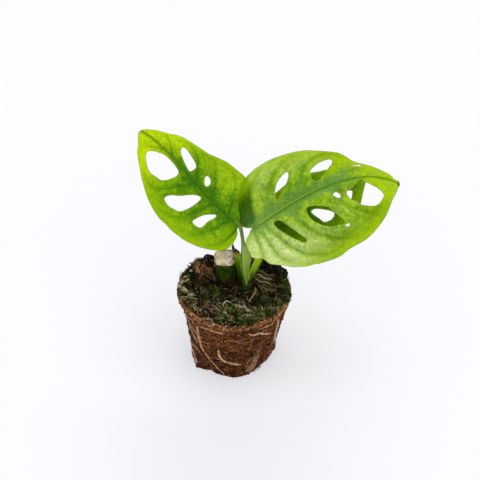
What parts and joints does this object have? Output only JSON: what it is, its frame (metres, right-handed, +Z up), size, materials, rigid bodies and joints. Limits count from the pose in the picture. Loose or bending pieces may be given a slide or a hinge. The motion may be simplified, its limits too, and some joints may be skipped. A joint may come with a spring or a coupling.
{
  "type": "mint monstera adansonii plantlet with bare root plug",
  "caption": "Young mint-variegated monstera adansonii with perforated leaves, rooted in a bare coir plug topped with moss, as taken out of its nursery pot.",
  "frame": {"origin": "centre of the root plug's flat underside, where the plug stands", "axes": "+Z up; the plant faces -Y, with its large leaves reaching to -X and +X"},
  "size_m": [0.1348, 0.0763, 0.1133],
  "materials": {
    "coir": "rough matted coir fibre and peat",
    "moss": "dark soil with low green moss",
    "old_stem": "satin dark green stem with a dry tan cut end",
    "stem": "satin green",
    "petiole": "satin pale green, finely streaked",
    "leaf_mint": "satin, mint marbled, darker along the midrib",
    "leaf_shaded": "satin, deeper green",
    "bark": "rough reddish brown",
    "peat": "rough, nearly black",
    "perlite": "matt porous white",
    "root": "matt tan root skin",
    "straw": "dry fibrous"
  },
  "bodies": {
    "root": {"bark_chunk": "bark", "cataphyll": "stem", "fibre_curl": "straw", "fibre_front": "straw", "fibre_right": "straw", "leaf_back": "leaf_shaded", "leaf_left": "leaf_mint", "leaf_right": "leaf_mint", "moss_layer": "moss", "peat_chunk": "peat", "perlite_grain_1": "perlite", "perlite_grain_2": "perlite", "perlite_grain_3": "perlite", "petiole_back": "petiole", "petiole_front": "petiole", "petiole_left": "petiole", "root_arch": "root", "root_back_fork": "root", "root_back_left": "root", "root_back_middle": "root", "root_back_right": "root", "root_back_ring": "root", "root_front_hook": "root", "root_front_left_long": "root", "root_front_right_wave": "root", "root_front_upper": "root", "root_left_back_cross": "root", "root_left_back_long": "root", "root_left_branch": "root", "root_left_foot": "root", "root_left_lower": "root", "root_left_rim": "root", "root_plug": "coir", "root_right_edge": "root", "root_right_lower": "root", "root_right_upper": "root", "root_rim_left": "root", "root_tip_front": "root", "shoot_base": "stem", "straw_1": "straw", "straw_2": "straw", "straw_3": "straw", "straw_4": "straw", "vine_cutting": "old_stem"}
  },
  "joints": []
}
